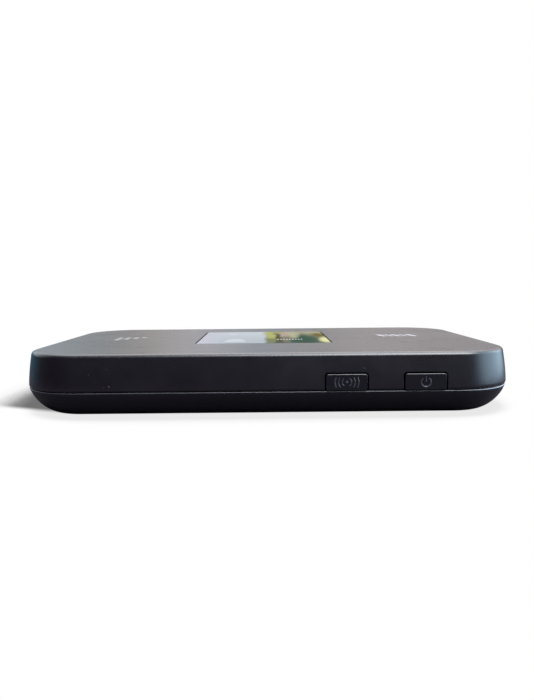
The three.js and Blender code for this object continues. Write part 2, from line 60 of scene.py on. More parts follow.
def box_mm(node):
    """Lowest and highest corner of a CAD node, in millimetres."""
    low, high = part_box(node)
    return [c / MM for c in low], [c / MM for c in high]


# ---------------------------------------------------------------- outer form

TOP_LOW, TOP_HIGH = box_mm("top_cover")
LENGTH = TOP_HIGH[0] - TOP_LOW[0]
WIDTH = TOP_HIGH[1] - TOP_LOW[1]
HEIGHT = TOP_HIGH[2]
SEAM_TOP = TOP_LOW[2]  # lower edge of the top cover
SEAM_GAP = 0.12  # between the two covers
SPLIT = SEAM_TOP - SEAM_GAP  # upper edge of the rear cover's wall
CORNER_R = 13.1
BELLY_Z = 6.2  # the height at which the body is widest
FOOT_INSET = 5.8  # how far the underside stands in from there
FOOT_POWER = 1.6
TOP_DRAFT = 0.75  # how far the upper wall leans in
DRAFT_POWER = 1.5
TOP_EDGE_R = 1.0
EDGE_Z = HEIGHT - TOP_EDGE_R
ARC_STEPS = 22  # divisions of each corner of the outline
LONG_STEPS = 20  # and of its long and short sides
SHORT_STEPS = 10
QUARTERS = [(1, 1), (-1, 1), (-1, -1), (1, -1)]  # signs of x and y, anticlockwise


def wall_inset(z):
    """How far the wall stands inside the belly outline at height z."""
    if z <= BELLY_Z:
        down = min((BELLY_Z - z) / BELLY_Z, 1.0)
        return FOOT_INSET * (1 - (1 - down**FOOT_POWER) ** (1 / FOOT_POWER))
    if z <= EDGE_Z:
        return TOP_DRAFT * ((z - BELLY_Z) / (EDGE_Z - BELLY_Z)) ** DRAFT_POWER
    up = min((z - EDGE_Z) / TOP_EDGE_R, 1.0)
    return TOP_DRAFT + TOP_EDGE_R * (1 - math.sqrt(max(0.0, 1 - up * up)))


def body_ring(inset, z):
    """The body's outline, moved in by inset, as evenly laid points at height z."""
    r = max(CORNER_R - inset, 0.4)
    cx, cy = LENGTH / 2 - inset - r, WIDTH / 2 - inset - r
    arcs = []
    for quarter, (sx, sy) in enumerate(QUARTERS):
        angles = [(quarter + i / ARC_STEPS) * math.pi / 2 for i in range(ARC_STEPS + 1)]
        arcs.append([(sx * cx + r * math.cos(a), sy * cy + r * math.sin(a), z) for a in angles])
    points = []
    for i, arc in enumerate(arcs):
        start, end = arc[-1], arcs[(i + 1) % 4][0]
        steps = LONG_STEPS if i % 2 == 0 else SHORT_STEPS
        points += arc
        points += [tuple(Vector(start).lerp(Vector(end), j / steps)) for j in range(1, steps)]
    return points


def rounded_outline(cx, cy, hx, hy, r, steps=6):
    """A rounded rectangle as a list of 2-D points, anticlockwise."""
    r = min(r, hx, hy)
    points = []
    for quarter, (sx, sy) in enumerate(QUARTERS):
        for i in range(steps + 1):
            a = (quarter + i / steps) * math.pi / 2
            points.append((cx + sx * (hx - r) + r * math.cos(a), cy + sy * (hy - r) + r * math.sin(a)))
    return points


def divided(outline, step=0.5):
    """The same closed outline with its long sides split, so that it can follow a curved wall."""
    points = []
    for (x0, y0), (x1, y1) in zip(outline, outline[1:] + outline[:1]):
        count = max(1, math.ceil(math.dist((x0, y0), (x1, y1)) / step - 0.01))
        points += [(x0 + (x1 - x0) * i / count, y0 + (y1 - y0) * i / count) for i in range(count)]
    return points


# ---------------------------------------------------------------- mesh helpers

SHARP_ANGLE = 38.0  # degrees between faces from which an edge is shown sharp


def skin(rings):
    """Quads between successive rings, with the first and last ring closed by a face."""
    n = len(rings[0])
    verts = [p for ring in rings for p in ring]
    faces = []
    for level in range(len(rings) - 1):
        low, high = level * n, (level + 1) * n
        faces += [(low + i, low + (i + 1) % n, high + (i + 1) % n, high + i) for i in range(n)]
    last = (len(rings) - 1) * n
    faces.append(tuple(reversed(range(n))))
    faces.append(tuple(range(last, last + n)))
    return verts, faces


def joined(parts):
    """Several (verts, faces) shapes as one."""
    verts, faces = [], []
    for part_verts, part_faces in parts:
        base = len(verts)
        verts += list(part_verts)
        faces += [tuple(base + i for i in face) for face in part_faces]
    return verts, faces


def object_from(name, shape):
    """A scene object from (verts, faces) in millimetres, with its faces pointing out."""
    verts, faces = shape
    mesh = bpy.data.meshes.new(name)
    mesh.from_pydata([[c * MM for c in v] for v in verts], [], faces)
    bm = bmesh.new()
    bm.from_mesh(mesh)
    bmesh.ops.remove_doubles(bm, verts=bm.verts, dist=1e-8)
    bmesh.ops.recalc_face_normals(bm, faces=bm.faces)
    bm.to_mesh(mesh)
    bm.free()
    obj = bpy.data.objects.new(name, mesh)
    bpy.context.scene.collection.objects.link(obj)
    return obj


def boolean(obj, shapes, operation="DIFFERENCE"):
    """Cuts shapes from obj, or joins them to it, and applies the result."""
    tools = [object_from(f"tool_{i}", shape) for i, shape in enumerate(shapes)]
    for tool in tools:
        modifier = obj.modifiers.new("boolean", "BOOLEAN")
        modifier.operation = operation
        modifier.solver = "EXACT"
        modifier.object = tool
    depsgraph = bpy.context.evaluated_depsgraph_get()
    done = bpy.data.meshes.new_from_object(obj.evaluated_get(depsgraph))
    obj.modifiers.clear()
    obj.data = done
    for tool in tools:
        bpy.data.objects.remove(tool)


def finish_piece(obj, material, body, weighted=True):
    """Gives a piece its material and smooth shading, and makes it ride on a CAD body."""
    mesh = obj.data
    mesh.materials.clear()
    mesh.materials.append(material)
    mesh.polygons.foreach_set("use_smooth", [True] * len(mesh.polygons))
    mesh.set_sharp_from_angle(angle=math.radians(SHARP_ANGLE))
    if weighted:
        modifier = obj.modifiers.new("normals", "WEIGHTED_NORMAL")
        modifier.keep_sharp = True
        modifier.weight = 50
    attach(obj, body)


def box_shape(low, high, r):
    """A box whose upright edges are rounded by r and whose rims are eased by a fifth of r."""
    cx, cy = (low[0] + high[0]) / 2, (low[1] + high[1]) / 2
    hx, hy = (high[0] - low[0]) / 2, (high[1] - low[1]) / 2
    ease = r / 5
    levels = [(ease, low[2]), (0, low[2] + ease), (0, high[2] - ease), (ease, high[2])]
    rings = [
        [(x, y, z) for x, y in rounded_outline(cx, cy, hx - pull, hy - pull, r, 3)]
        for pull, z in levels
    ]
    return skin(rings)


# ---------------------------------------------------------------- material graphs


class Graph:
    """A material's node tree, with short calls for the nodes the materials share."""

    def __init__(self, name):
        self.material = bpy.data.materials.new(name)
        self.material.use_nodes = True
        self.tree = self.material.node_tree
        self.shader = self.tree.nodes["Principled BSDF"]
        self.coords = self.add("ShaderNodeTexCoord").outputs["Object"]
        scale = self.add("ShaderNodeVectorMath", operation="SCALE")
        self.tree.links.new(self.coords, scale.inputs[0])
        scale.inputs["Scale"].default_value = 1 / MM
        self.mm = scale.outputs["Vector"]
        axes = self.add("ShaderNodeSeparateXYZ")
        self.tree.links.new(self.mm, axes.inputs[0])
        self.x, self.y, self.z = axes.outputs

    def add(self, kind, **settings):
        """A new node with its settings."""
        node = self.tree.nodes.new(kind)
        for key, value in settings.items():
            setattr(node, key, value)
        return node

    def put(self, socket, value):
        """Links a socket to another node's output, or sets its own value."""
        if isinstance(value, bpy.types.NodeSocket):
            self.tree.links.new(value, socket)
        elif isinstance(value, (tuple, list)) and socket.type == "RGBA":
            socket.default_value = (*value[:3], 1.0)
        else:
            socket.default_value = value

    def math(self, operation, a, b=0.0, c=0.0):
        """One step of arithmetic on numbers or sockets."""
        node = self.add("ShaderNodeMath", operation=operation)
        for socket, value in zip(node.inputs, (a, b, c)):
            self.put(socket, value)
        return node.outputs[0]

    def smooth(self, value, low, high, out_low=0.0, out_high=1.0):
        """out_low below low, out_high above high, and a smooth step between."""
        node = self.add("ShaderNodeMapRange", interpolation_type="SMOOTHSTEP", clamp=True)
        for name, number in (
            ("Value", value),
            ("From Min", low),
            ("From Max", high),
            ("To Min", out_low),
            ("To Max", out_high),
        ):
            self.put(node.inputs[name], number)
        return node.outputs["Result"]

    def mix(self, share, a, b):
        """Colour a where share is 0, and b where it is 1."""
        node = self.add("ShaderNodeMix", data_type="RGBA", clamp_factor=True)
        self.put(node.inputs[0], share)
        self.put(node.inputs[6], a)
        self.put(node.inputs[7], b)
        return node.outputs[2]

    def stretched(self, sx, sy, sz):
        """The place in millimetres with each axis scaled, to draw a texture out along an axis."""
        node = self.add("ShaderNodeVectorMath", operation="MULTIPLY")
        self.put(node.inputs[0], self.mm)
        node.inputs[1].default_value = (sx, sy, sz)
        return node.outputs[0]

    def noise(self, scale, detail=3.0, rough=0.5, at=None):
        """Noise with features about 1/scale millimetres across."""
        node = self.add("ShaderNodeTexNoise", noise_dimensions="3D")
        self.put(node.inputs["Vector"], at or self.mm)
        node.inputs["Scale"].default_value = scale
        node.inputs["Detail"].default_value = detail
        node.inputs["Roughness"].default_value = rough
        return node.outputs["Fac"]

    def cells(self, scale, feature="F1"):
        """A cell texture with scale cells to a millimetre."""
        node = self.add("ShaderNodeTexVoronoi", voronoi_dimensions="3D", feature=feature)
        self.put(node.inputs["Vector"], self.mm)
        node.inputs["Scale"].default_value = scale
        return node

    def specks(self, scale, size, share):
        """Sparse round specks: size is their radius and share the fraction of cells that hold one."""
        node = self.cells(scale)
        dot = self.math("LESS_THAN", node.outputs["Distance"], size * scale)
        channels = self.add("ShaderNodeSeparateColor")
        self.put(channels.inputs[0], node.outputs["Color"])
        chosen = self.math("GREATER_THAN", channels.outputs[0], 1 - share)
        return self.math("MULTIPLY", dot, chosen)

    def bump(self, height, depth_mm, strength=1.0, under=None):
        """A bump map of the given depth, laid over another one when under is given."""
        node = self.add("ShaderNodeBump")
        node.inputs["Strength"].default_value = strength
        node.inputs["Distance"].default_value = depth_mm * MM
        self.put(node.inputs["Height"], height)
        if under is not None:
            self.put(node.inputs["Normal"], under)
        return node.outputs["Normal"]

    def set(self, **values):
        """Sets or links the shader's inputs by short names, and returns the material."""
        names = {
            "color": "Base Color",
            "rough": "Roughness",
            "metal": "Metallic",
            "specular": "Specular IOR Level",
            "normal": "Normal",
            "coat": "Coat Weight",
            "coat_rough": "Coat Roughness",
            "glow": "Emission Color",
            "glow_strength": "Emission Strength",
        }
        for key, value in values.items():
            self.put(self.shader.inputs[names[key]], value)
        return self.material


def srgb(r, g, b):
    """A colour from 0-255 screen values to linear."""

    def linear(c):
        c /= 255
        return c / 12.92 if c <= 0.04045 else ((c + 0.055) / 1.055) ** 2.4

    return linear(r), linear(g), linear(b)


def moulded(name, color, rough, grain, dust, edge_wear, rim_highlight=0.0, specular=0.5):
    """Fine-grained moulded plastic with handling marks and dust. dust is the share of cells with a
    speck, edge_wear lightens the top edge, and rim_highlight is a painted highlight on the rear cover's
    rim, mostly at +X."""
    g = Graph(name)
    blotch = g.noise(0.09, 4, 0.55)
    streak = g.noise(0.5, 3, 0.6, g.stretched(0.7, 1.0, 1.0))
    fine = g.noise(7.0, 2, 0.6)
    tone = g.mix(g.smooth(blotch, 0.35, 0.7), [c * 0.86 for c in color], [c * 1.16 for c in color])
    tone = g.mix(g.math("MULTIPLY", fine, 0.3), tone, [c * 1.7 for c in color])
    spot = g.specks(0.55, 0.13, dust)
    lint = g.specks(1.3, 0.06, dust * 0.7)
    up_to_edge = g.smooth(g.z, HEIGHT - 1.0, HEIGHT - 0.45)
    edge = g.math("MULTIPLY", up_to_edge, g.smooth(g.z, HEIGHT - 0.02, HEIGHT - 0.2))
    worn = g.math("MULTIPLY", edge, g.smooth(g.noise(0.6, 3, 0.7), 0.45, 0.75))
    marks = g.math("MULTIPLY", g.math("MAXIMUM", spot, lint), g.math("LESS_THAN", edge, 0.02))
    tone = g.mix(g.math("MULTIPLY", worn, edge_wear), tone, [min(c * 2.2 + 0.01, 1) for c in color])
    tone = g.mix(g.math("MULTIPLY", marks, 0.6), tone, srgb(132, 134, 140))
    # Painted highlight: the rear cover's rounded rim is lightened, most at +X, where the light falls from
    # the right.
    up_to_rim = g.smooth(g.z, SPLIT - 0.27, SPLIT - 0.2)
    rim = g.math("MULTIPLY", up_to_rim, g.smooth(g.z, SPLIT - 0.01, SPLIT - 0.03))
    rim_highlight_share = g.smooth(g.x, LENGTH / 2 - 14, LENGTH / 2 - 4, rim_highlight * 0.1, rim_highlight)
    tone = g.mix(g.math("MULTIPLY", rim, rim_highlight_share), tone, srgb(120, 124, 132))
    level = g.math("MULTIPLY_ADD", g.math("SUBTRACT", blotch, 0.5), 0.12, rough)
    level = g.math("MULTIPLY_ADD", g.math("SUBTRACT", streak, 0.5), 0.10, level)
    level = g.math("SUBTRACT", level, g.math("MULTIPLY", worn, 0.07))
    level = g.math("ADD", level, g.math("MULTIPLY", marks, 0.3))
    cells = g.cells(6.5, "SMOOTH_F1").outputs["Distance"]
    normal = g.bump(cells, grain)
    normal = g.bump(streak, grain * 0.5, 0.6, normal)
    return g.set(color=tone, rough=level, normal=normal, specular=specular)


def silver_print():
    """Pale silver screen print with slightly broken ink. The mark at the left end is painted darker, as
    painted shade, since the light falls from the right.
    """
    g = Graph("silver_print")
    patch = g.noise(2.5, 3, 0.6)
    color = g.mix(g.smooth(patch, 0.35, 0.65), srgb(104, 106, 110), srgb(134, 134, 136))
    # Painted shade: the ink of the left mark is darkened, as it lies away from the light at the right.
    color = g.mix(g.smooth(g.x, -30, 0), srgb(84, 84, 86), color)
    rough = g.math("MULTIPLY_ADD", patch, 0.2, 0.35)
    return g.set(color=color, rough=rough, metal=0.15, normal=g.bump(patch, 0.004))


def rubber_foam():
    """Black foam with fine open pores."""
    g = Graph("foam")
    pores = g.cells(3.2, "SMOOTH_F1").outputs["Distance"]
    color = g.mix(g.smooth(pores, 0.1, 0.6), srgb(12, 12, 13), srgb(38, 38, 40))
    return g.set(color=color, rough=0.92, normal=g.bump(pores, 0.12))


def sheet_metal(name, color, rough, brushed):
    """Bare metal with faint stains, and with grain along x where it is brushed."""
    g = Graph(name)
    along, across = (0.08, 2.5) if brushed else (1.0, 1.0)
    grain = g.noise(3.0, 4, 0.65, g.stretched(along, across, 1.0))
    stain = g.noise(0.2, 4, 0.55)
    tone = g.mix(g.smooth(stain, 0.4, 0.7), [c * 0.82 for c in color], color)
    level = g.math("MULTIPLY_ADD", grain, 0.22, rough)
    return g.set(color=tone, rough=level, metal=1.0, normal=g.bump(grain, 0.006))


def solder_mask():
    """Green board: copper tracks under the mask, round vias and bare pads."""
    g = Graph("board")
    bricks = g.add("ShaderNodeTexBrick", offset=0.5, squash=1.0)
    g.put(bricks.inputs["Vector"], g.mm)
    bricks.inputs["Scale"].default_value = 0.45
    bricks.inputs["Mortar Size"].default_value = 0.035
    track = g.math("GREATER_THAN", bricks.outputs["Fac"], 0.5)
    via = g.specks(0.8, 0.22, 0.35)
    base = g.mix(g.noise(0.15, 3), srgb(14, 74, 44), srgb(22, 92, 56))
    tone = g.mix(g.math("MULTIPLY", track, 0.55), base, srgb(48, 128, 80))
    tone = g.mix(via, tone, srgb(190, 170, 110))
    height = g.math("MAXIMUM", track, via)
    return g.set(color=tone, rough=0.35, normal=g.bump(height, 0.03), coat=0.4, coat_rough=0.2)


def chip_epoxy():
    """Black moulding compound with a sandy grain."""
    g = Graph("chip")
    grain = g.noise(8.0, 2)
    tone = g.mix(grain, srgb(24, 24, 26), srgb(40, 40, 43))
    return g.set(color=tone, rough=g.math("MULTIPLY_ADD", grain, 0.2, 0.45), normal=g.bump(grain, 0.01))


def gold_plate():
    """Gold-plated contacts, duller where they have rubbed."""
    g = Graph("contact")
    wear = g.noise(3.0, 3)
    tone = g.mix(g.smooth(wear, 0.4, 0.7), srgb(212, 170, 84), srgb(240, 206, 128))
    rough = g.math("MULTIPLY_ADD", wear, 0.25, 0.18)
    return g.set(color=tone, rough=rough, metal=1.0, normal=g.bump(wear, 0.006))


def nylon():
    """Ivory connector plastic."""
    g = Graph("connector_plastic")
    cloud = g.noise(1.2, 3)
    tone = g.mix(cloud, srgb(205, 197, 176), srgb(228, 222, 206))
    return g.set(color=tone, rough=g.math("MULTIPLY_ADD", cloud, 0.15, 0.42), normal=g.bump(cloud, 0.01))


def flex_film():
    """Amber film with copper lines showing through."""
    g = Graph("flex")
    wave = g.add("ShaderNodeTexWave", wave_type="BANDS", bands_direction="Y")
    g.put(wave.inputs["Vector"], g.mm)
    wave.inputs["Scale"].default_value = 0.45
    line = g.smooth(wave.outputs["Fac"], 0.55, 0.7)
    tone = g.mix(line, srgb(116, 66, 22), srgb(190, 120, 48))
    rough = g.math("MULTIPLY_ADD", g.noise(1.0), 0.15, 0.25)
    return g.set(color=tone, rough=rough, normal=g.bump(line, 0.01))


def battery_wrap():
    """Dark printed film: a lighter plain band, a thin rule, an overlap seam and fine creases."""
    g = Graph("cell")
    cloud = g.noise(0.12, 4)
    base = g.mix(cloud, srgb(30, 31, 35), srgb(42, 43, 48))
    low, high = box_mm("battery_cell")
    after_start = g.math("GREATER_THAN", g.x, low[0] + 5)
    band = g.math("MULTIPLY", after_start, g.math("LESS_THAN", g.x, low[0] + 17))
    rule = g.math("COMPARE", g.x, low[0] + 19, 0.35)
    tone = g.mix(g.math("MULTIPLY", band, 0.9), base, srgb(150, 154, 160))
    tone = g.mix(g.math("MULTIPLY", rule, 0.9), tone, srgb(150, 154, 160))
    crease = g.noise(0.8, 4, 0.6, g.stretched(1.0, 0.2, 1.0))
    seam = g.smooth(g.math("ABSOLUTE", g.math("SUBTRACT", g.y, high[1] - 6)), 0.0, 0.25)
    normal = g.bump(seam, 0.05, 1.0, g.bump(crease, 0.03))
    return g.set(color=tone, rough=g.math("MULTIPLY_ADD", crease, 0.25, 0.22), normal=normal, coat=0.3)


def paper_label():
    """Off-white label paper with a little fibre."""
    g = Graph("label")
    fibre = g.noise(5.0, 4)
    tone = g.mix(fibre, srgb(206, 206, 204), srgb(226, 226, 224))
    return g.set(color=tone, rough=0.75, normal=g.bump(fibre, 0.012))


def card_plastic():
    """White card plastic with a blue band at one end."""
    g = Graph("card")
    cloud = g.noise(0.8, 3)
    end = box_mm("sim_card")[1][0]
    stripe = g.math("GREATER_THAN", g.x, end - 4.2)
    tone = g.mix(cloud, srgb(224, 225, 228), srgb(236, 236, 238))
    tone = g.mix(g.math("MULTIPLY", stripe, 0.8), tone, srgb(88, 132, 176))
    return g.set(color=tone, rough=g.math("MULTIPLY_ADD", cloud, 0.1, 0.28), normal=g.bump(cloud, 0.006))


def milky_guide():
    """The backlight's white sheet with its printed dots."""
    g = Graph("light_guide")
    dots = g.cells(1.6).outputs["Distance"]
    tone = g.mix(g.smooth(dots, 0.15, 0.3), srgb(246, 248, 250), srgb(222, 228, 234))
    return g.set(color=tone, rough=0.3, normal=g.bump(dots, 0.01))


SCREEN_GLOW = 0.93  # strength of the lit picture
SCREEN_PALE = 0.04  # share of the picture's colours that the surface shows unlit


def screen_picture():
    """The lit picture under the clear window: a plain pale panel on the left with faint white signs,
    and an abstract picture on the right, inside a thin black printed border. u and v run from 0 to 1
    across the window and from its front to its back."""
    g = Graph("screen")
    low, high = box_mm("screen_lens")
    size = [high[0] - low[0], high[1] - low[1]]
    ripple = g.noise(0.3, 1, 0.5, g.stretched(1.0, 0.2, 1.0))
    warp = g.math("MULTIPLY", g.math("SUBTRACT", ripple, 0.5), 0.12)
    u = g.math("DIVIDE", g.math("SUBTRACT", g.x, low[0]), size[0])
    v = g.math("DIVIDE", g.math("SUBTRACT", g.y, low[1]), size[1])
    wu, wv = g.math("ADD", u, warp), g.math("ADD", v, warp)

    def blob(cx, cy, rx, ry, soft=0.6, straight=False):
        """1 inside an oval, falling off softly; its outline wavers unless it is straight."""
        a, b = (u, v) if straight else (wu, wv)
        dx = g.math("POWER", g.math("DIVIDE", g.math("SUBTRACT", a, cx), rx), 2.0)
        dy = g.math("POWER", g.math("DIVIDE", g.math("SUBTRACT", b, cy), ry), 2.0)
        return g.smooth(g.math("SQRT", g.math("ADD", dx, dy)), 1 + soft, 1 - soft)

    tone = g.mix(g.smooth(v, 0.0, 1.0), srgb(182, 190, 199), srgb(200, 207, 213))
    tone = g.mix(g.smooth(u, 0.30, 0.0), tone, srgb(198, 200, 211))
    dome = g.math("MULTIPLY", blob(0.28, 0.10, 0.08, 0.26, 0.16, True), g.math("GREATER_THAN", v, 0.11))
    tone = g.mix(g.math("MULTIPLY", dome, 0.40), tone, srgb(240, 243, 248))
    for i in range(4):
        bar = g.math("COMPARE", u, 0.205 + 0.017 * i, 0.0055)
        tall = g.math("COMPARE", v, 0.735 + 0.009 * i, 0.018 + 0.009 * i)
        tone = g.mix(g.math("MULTIPLY", g.math("MULTIPLY", bar, tall), 0.5), tone, srgb(240, 243, 248))
    picture = g.mix(g.smooth(wv, 0.15, 0.85), srgb(84, 104, 92), srgb(168, 163, 138))
    for spot, color in (
        ((0.81, 0.28, 0.09, 0.44), srgb(58, 86, 72)),
        ((0.68, 0.82, 0.06, 0.30), srgb(182, 164, 148)),
        ((0.74, 0.66, 0.045, 0.26), srgb(178, 178, 148)),
        ((0.665, 0.26, 0.035, 0.22), srgb(128, 118, 108)),
        ((0.605, 0.38, 0.032, 0.50), srgb(88, 86, 60)),
        ((0.615, 0.95, 0.035, 0.14), srgb(162, 160, 104)),
        ((0.55, 0.72, 0.032, 0.50), srgb(176, 180, 108)),
        ((0.545, 0.14, 0.032, 0.22), srgb(126, 130, 96)),
        ((0.945, 0.62, 0.06, 0.18), srgb(112, 104, 58)),
        ((0.985, 0.24, 0.05, 0.20), srgb(228, 226, 168)),
    ):
        picture = g.mix(blob(*spot), picture, color)
    cell = g.math("FRACT", g.math("MULTIPLY", g.math("SUBTRACT", u, 0.60), 44.0))
    dots = g.math("MULTIPLY", g.math("COMPARE", cell, 0.5, 0.30), g.math("COMPARE", v, 0.285, 0.022))
    dots = g.math("MULTIPLY", dots, g.math("COMPARE", u, 0.70, 0.098))
    picture = g.mix(g.math("MULTIPLY", dots, 0.9), picture, srgb(236, 238, 230))
    tone = g.mix(g.smooth(wu, 0.495, 0.535), tone, picture)
    cx, cy = (low[0] + high[0]) / 2, (low[1] + high[1]) / 2
    from_edge = g.math(
        "MINIMUM",
        g.math("SUBTRACT", size[0] / 2, g.math("ABSOLUTE", g.math("SUBTRACT", g.x, cx))),
        g.math("SUBTRACT", size[1] / 2, g.math("ABSOLUTE", g.math("SUBTRACT", g.y, cy))),
    )
    lit = g.smooth(from_edge, 0.15, 0.25)
    tone = g.mix(lit, srgb(14, 14, 16), tone)
    smear = g.noise(0.25, 4, 0.6, g.stretched(1.0, 0.4, 1.0))
    dim = g.mix(SCREEN_PALE, (0, 0, 0), tone)
    g.set(color=dim, rough=g.math("MULTIPLY_ADD", smear, 0.06, 0.02), specular=0.1)
    return g.set(glow=tone, glow_strength=g.math("MULTIPLY", lit, SCREEN_GLOW))


shell_plastic = moulded("shell_plastic", srgb(14, 11, 15), 0.30, 0.006, 0.035, 0.25)
button_plastic = moulded("button_plastic", srgb(6, 5, 9), 0.28, 0.008, 0.01, 0.0)
# Painted highlight: the signs are moulded in the buttons' own colour, and this lighter grey stands in for
# light catching their raised strokes.
icon_highlight_plastic = moulded("icon_highlight_plastic", srgb(44, 45, 50), 0.24, 0.004, 0.0, 0.0)
# Its 0.9 sets the painted highlight on the rim.
rear_plastic = moulded("rear_plastic", srgb(16, 13, 18), 0.42, 0.014, 0.02, 0.0, 0.9, 0.32)
frame_plastic = moulded("frame_plastic", srgb(34, 34, 36), 0.5, 0.016, 0.0, 0.0)
screen_material = screen_picture()
print_material = silver_print()
foam = rubber_foam()
steel = sheet_metal("sheet_steel", srgb(196, 198, 200), 0.22, True)
black_steel = sheet_metal("screw", srgb(86, 86, 90), 0.3, False)
board_material = solder_mask()
chip_material = chip_epoxy()
gold = gold_plate()
ivory = nylon()
amber = flex_film()
wrap = battery_wrap()
paper = paper_label()
card_material = card_plastic()
guide = milky_guide()


# ---------------------------------------------------------------- top cover

LENS_LOW, LENS_HIGH = box_mm("screen_lens")
LENS_MID = [(LENS_LOW[i] + LENS_HIGH[i]) / 2 for i in range(2)]
LENS_HALF = [(LENS_HIGH[i] - LENS_LOW[i]) / 2 for i in range(2)]
LENS_R = 1.2
SEAT_GAP = 0.17  # room for the adhesive under the window
PRINT_THICKNESS = 0.012
TOP_Z = HEIGHT - PRINT_THICKNESS  # the top face, under the printed marks
USB_LOW, USB_HIGH = box_mm("usb_shell")
SIDE_WALL = 1.5
CEILING = HEIGHT - SIDE_WALL
BUTTON_HALF = 4.3
BUTTON_TOP = 9.17
BUTTON_LOW = box_mm("power_button")[0][2]
BUTTON_R = 0.5
BUTTON_GAP = 0.25
CUT_DEPTH = 4.0  # how far a side opening's cutter reaches in


def wall_point(side, x, z, depth):
    """A point at a depth under the long side wall's surface; side is -1 for the buttons' side."""
    lean = wall_inset(min(max(z, SEAM_TOP), EDGE_Z))
    return (x, side * (WIDTH / 2 - lean - depth), z)


def wall_cutter(side, outline, ease=0.14):
    """A hole through a long side wall whose outer rim is eased. outline(grow) gives x and z points."""
    steps = [(ease + 0.26, -0.13), (ease * 0.42, ease * 0.3), (0.0, ease), (0.0, CUT_DEPTH)]
    rings = [[wall_point(side, x, z, depth) for x, z in outline(grow)] for grow, depth in steps]
    outside = [(x, side * (WIDTH / 2 + 1), z) for x, z in outline(ease + 0.26)]
    return skin([outside, *rings])


def notch_outline(node):
    """The opening round a button: rounded at the top and open at the bottom."""
    low, high = box_mm(node)
    half = BUTTON_HALF + BUTTON_GAP
    mid = (low[0] + high[0]) / 2
    top, bottom = BUTTON_TOP + BUTTON_GAP, SEAM_TOP - 1.3

    def outline(grow):
        tall = (top - bottom) / 2
        r = BUTTON_R + BUTTON_GAP + grow
        return divided(rounded_outline(mid, (top + bottom) / 2, half + grow, tall + grow, r, 8))

    return outline


# Snap tabs: place along the wall, side of the body, and the axis along which the wall runs.
TABS = [(-34, -1, "x"), (-6, -1, "x"), (-34, 1, "x"), (10, 1, "x"), (36, 1, "x")]
TABS += [(-14, -1, "y"), (14, -1, "y"), (0, 1, "y")]


def at_wall(spot, wide, outer, inner, z0, z1):
    """A block across the wall between two insets, at a snap tab's spot."""
    along, side, axis = spot
    half = (WIDTH if axis == "x" else LENGTH) / 2
    near, far = sorted((side * (half - outer), side * (half - inner)))
    if axis == "x":
        return box_shape((along - wide / 2, near, z0), (along + wide / 2, far, z1), 0.1)
    return box_shape((near, along - wide / 2, z0), (far, along + wide / 2, z1), 0.1)


def lens_ring(grow, z):
    """The screen window's outline at height z, larger by grow all round."""
    outline = rounded_outline(*LENS_MID, LENS_HALF[0] + grow, LENS_HALF[1] + grow, LENS_R + grow, 8)
    return [(x, y, z) for x, y in outline]


def top_cover():
    """The upper shell: hollow, with the window's seat, the button notches, the charging opening and
    the slots for the rear cover's tabs."""
    angles = (10, 20, 30, 40, 50, 60, 70, 79, 86)
    fillet = [EDGE_Z + TOP_EDGE_R * math.sin(math.radians(a)) for a in angles]
    heights = [BELLY_Z, 6.6, 7.2, 8, 9, 10, 11, 11.7, EDGE_Z, *fillet]
    profile = [(wall_inset(z), min(z, TOP_Z)) for z in heights]
    profile.append((TOP_DRAFT + TOP_EDGE_R + 0.05, TOP_Z))
    rim_inset = wall_inset(SEAM_TOP)
    rim = [(SIDE_WALL, SEAM_TOP), (rim_inset + 0.24, SEAM_TOP), (rim_inset + 0.16, SEAM_TOP + 0.03)]
    rim += [(rim_inset + 0.08, SEAM_TOP + 0.09), (rim_inset + 0.02, SEAM_TOP + 0.2)]
    inner = [(SIDE_WALL + wall_inset(z), z) for z in (CEILING, 10.3, 8.2, BELLY_Z)]
    rings = [body_ring(inset, z) for inset, z in inner + rim + profile]
    shell = object_from("top_shell", skin(rings))

    seat = LENS_LOW[2] - SEAT_GAP
    recess = skin(
        [
            lens_ring(-1.0, CEILING - 1),
            lens_ring(-1.0, seat),
            lens_ring(0.15, seat),
            lens_ring(0.15, TOP_Z - 0.12),
            lens_ring(0.19, TOP_Z - 0.035),
            lens_ring(0.33, TOP_Z + 0.045),
            lens_ring(0.33, TOP_Z + 1),
        ]
    )
    usb_mid = [(USB_LOW[i] + USB_HIGH[i]) / 2 for i in (0, 2)]
    usb_half = [(USB_HIGH[i] - USB_LOW[i]) / 2 + 0.4 for i in (0, 2)]

    def usb_outline(grow):
        return divided(rounded_outline(*usb_mid, usb_half[0] + grow, usb_half[1] + grow, 1.2 + grow, 8))

    cuts = [recess, wall_cutter(1, usb_outline, ease=0.2)]
    cuts += [wall_cutter(-1, notch_outline(f"{n}_button")) for n in ("wps", "power")]
    cuts += [at_wall(spot, 5.8, 1.0, 2.45, SEAM_TOP - 2, 7.3) for spot in TABS]
    boolean(shell, cuts)
    finish_piece(shell, shell_plastic, "main_unit")
    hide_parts("top_cover")


BOSS_SIDES = 32


def screw_bosses():
    """The hollow pillars under the ceiling that the screws bite into."""
    # Radius and height: down the bore from its closed end, round the mouth and up the outside.
    levels = [(0.9, 11.8), (0.9, 9.85), (1.0, 9.75), (1.8, 9.75), (1.9, 9.85), (1.9, CEILING)]
    angles = [2 * math.pi * k / BOSS_SIDES for k in range(BOSS_SIDES)]
    shapes = []
    for i in range(1, 7):
        low, high = box_mm(f"screw_{i}")
        x, y = (low[0] + high[0]) / 2, (low[1] + high[1]) / 2
        rings = [[(x + r * math.cos(a), y + r * math.sin(a), z) for a in angles] for r, z in levels]
        shapes.append(skin(rings))
    obj = object_from("screw_bosses", joined(shapes))
    finish_piece(obj, shell_plastic, "main_unit")


# ---------------------------------------------------------------- rear cover

